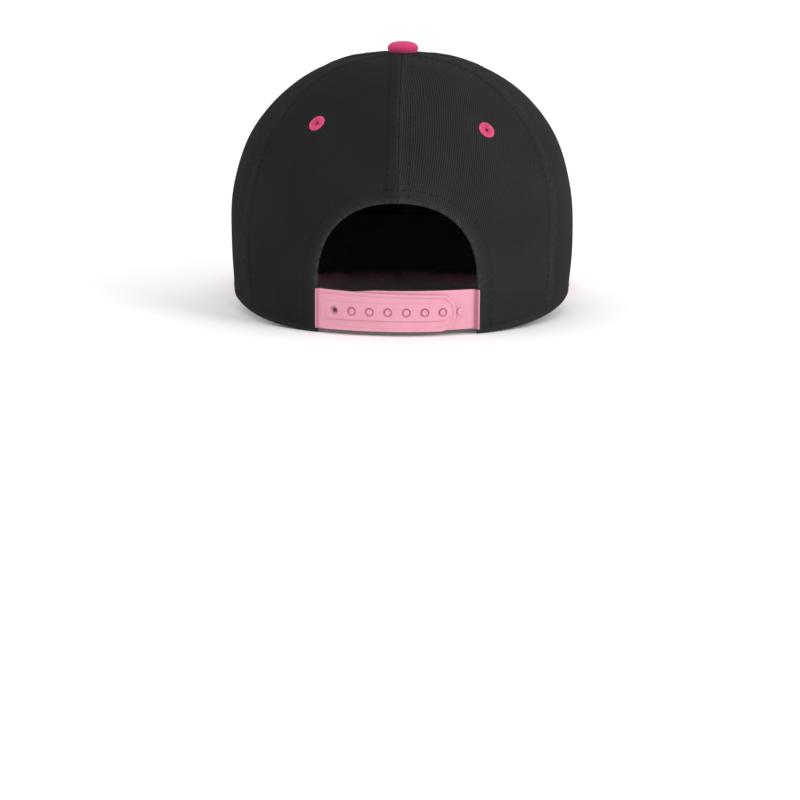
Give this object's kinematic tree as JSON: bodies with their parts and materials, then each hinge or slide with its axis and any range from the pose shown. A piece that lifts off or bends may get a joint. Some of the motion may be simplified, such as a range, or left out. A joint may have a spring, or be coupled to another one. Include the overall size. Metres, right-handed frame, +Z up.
{
  "type": "snapback cap",
  "caption": "Snapback cap with a tall panelled cloth crown, stitched eyelets, a covered button, a flat brim, a sweatband and a plastic snap strap across the back opening.",
  "frame": {"origin": "middle of the underside of the whole cap's box, on the surface that the cap rests on", "axes": "+Z up, the brim points to -Y, the snap strap and back opening face +Y, +X is the wearer's left"},
  "size_m": [0.1762, 0.2702, 0.1353],
  "materials": {
    "crown_cloth": "black cotton twill, matt",
    "accent_thread": "hot pink embroidery thread, slight sheen",
    "accent_cloth": "hot pink cotton twill, matt",
    "band_cloth": "black cotton tape, matt",
    "strap_plastic": "pastel pink moulded plastic, satin"
  },
  "bodies": {
    "root": {"panel_back_left": "crown_cloth", "panel_back_right": "crown_cloth", "panel_side_left": "crown_cloth", "panel_side_right": "crown_cloth", "panel_front_left": "crown_cloth", "panel_front_right": "crown_cloth", "eyelet_back_left": "accent_thread", "eyelet_back_right": "accent_thread", "eyelet_side_left": "accent_thread", "eyelet_side_right": "accent_thread", "eyelet_front_left": "accent_thread", "eyelet_front_right": "accent_thread", "button": "accent_cloth", "brim": "accent_cloth", "sweatband": "band_cloth", "strap_holed_half": "strap_plastic", "strap_pegged_half": "strap_plastic"}
  },
  "joints": []
}
